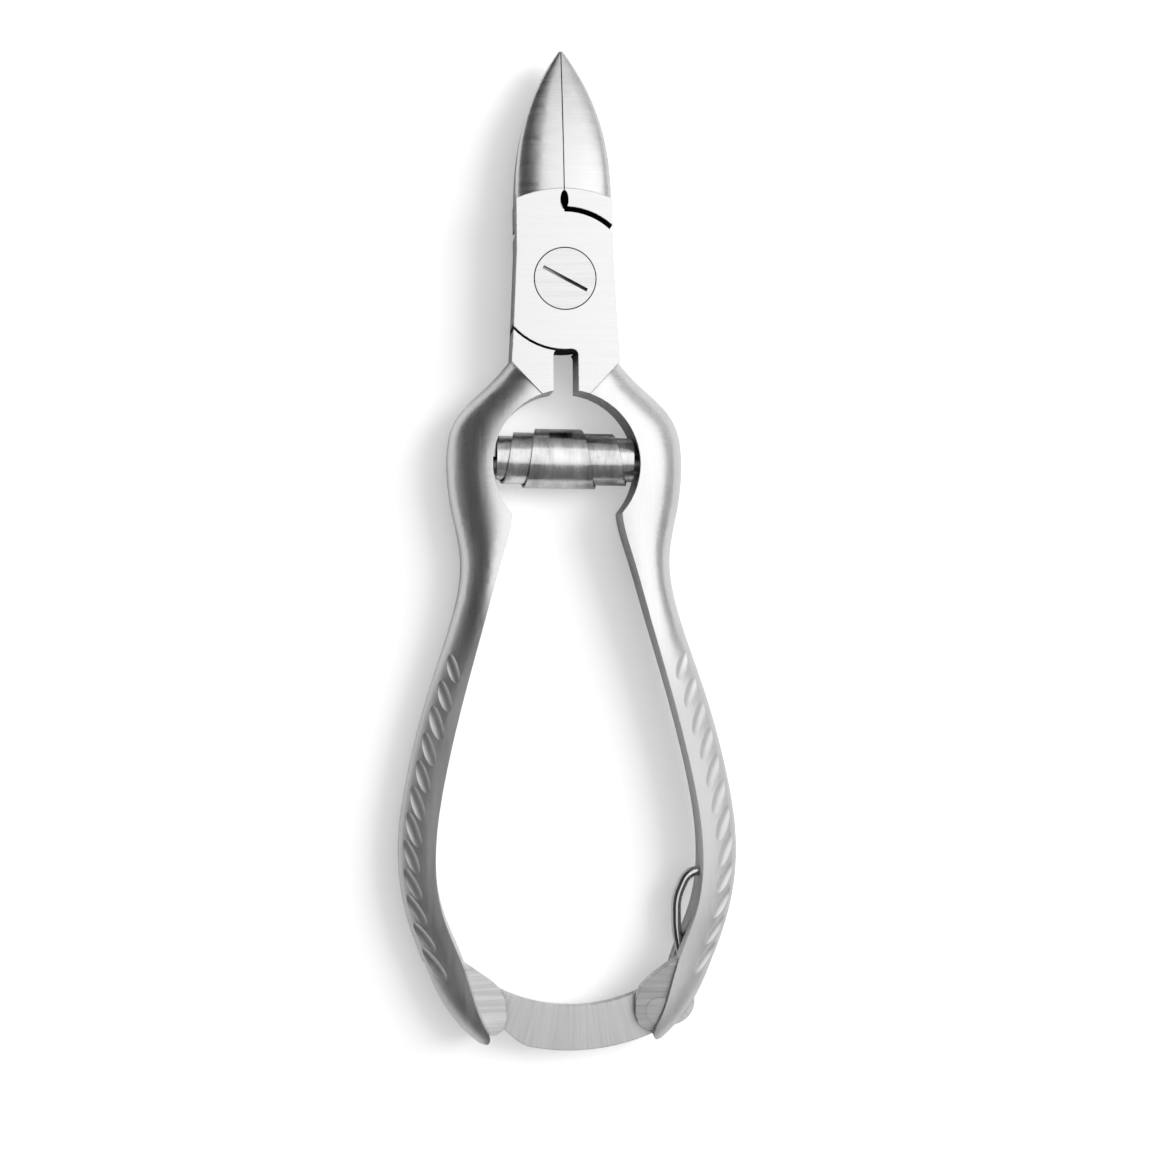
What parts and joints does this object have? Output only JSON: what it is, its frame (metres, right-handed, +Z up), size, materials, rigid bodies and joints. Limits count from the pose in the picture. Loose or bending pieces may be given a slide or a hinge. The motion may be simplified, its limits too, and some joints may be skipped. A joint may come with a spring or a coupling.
{
  "type": "toenail nipper",
  "caption": "Closed steel toenail nipper with a lap joint, barrel spring, grooved grips and a swinging latch bar across the handle ends.",
  "frame": {"origin": "on the surface the nipper lies on, below the middle of its outline", "axes": "+Y from the handle ends to the jaw tips, +Z up out of the joint's flat face with the screw's head, +X to the handle that carries the latch"},
  "size_m": [0.0478, 0.1396, 0.009],
  "materials": {
    "body_steel": "satin, finely brushed; joint flats brushed straight across",
    "screw_steel": "ground flush with the joint",
    "spring_steel": "bright rolled spring strip",
    "pin_steel": "ground flush",
    "latch_steel": "brushed across its width",
    "wire_steel": "bright drawn wire"
  },
  "bodies": {
    "lower": {"lower_half": "body_steel", "pivot_screw": "screw_steel", "spring_peg_left": "pin_steel", "catch_pin": "pin_steel", "barrel_spring": "spring_steel"},
    "upper": {"upper_half": "body_steel", "spring_peg_right": "pin_steel", "latch_rivet": "pin_steel", "latch_wire": "wire_steel"},
    "latch": {"latch_bar": "latch_steel"}
  },
  "joints": [
    {"name": "jaw_pivot", "type": "hinge", "parent": "lower", "child": "upper", "pos_m": [0, 0.0378, 0.0045], "axis": [0, 0, 1], "range_deg": [0, 12], "deforming": ["barrel_spring"]},
    {"name": "latch_swing", "type": "hinge", "parent": "upper", "child": "latch", "pos_m": [0.0124, -0.0642, 0.0045], "axis": [0, 0, 1], "range_deg": [-3.5, 14]}
  ]
}
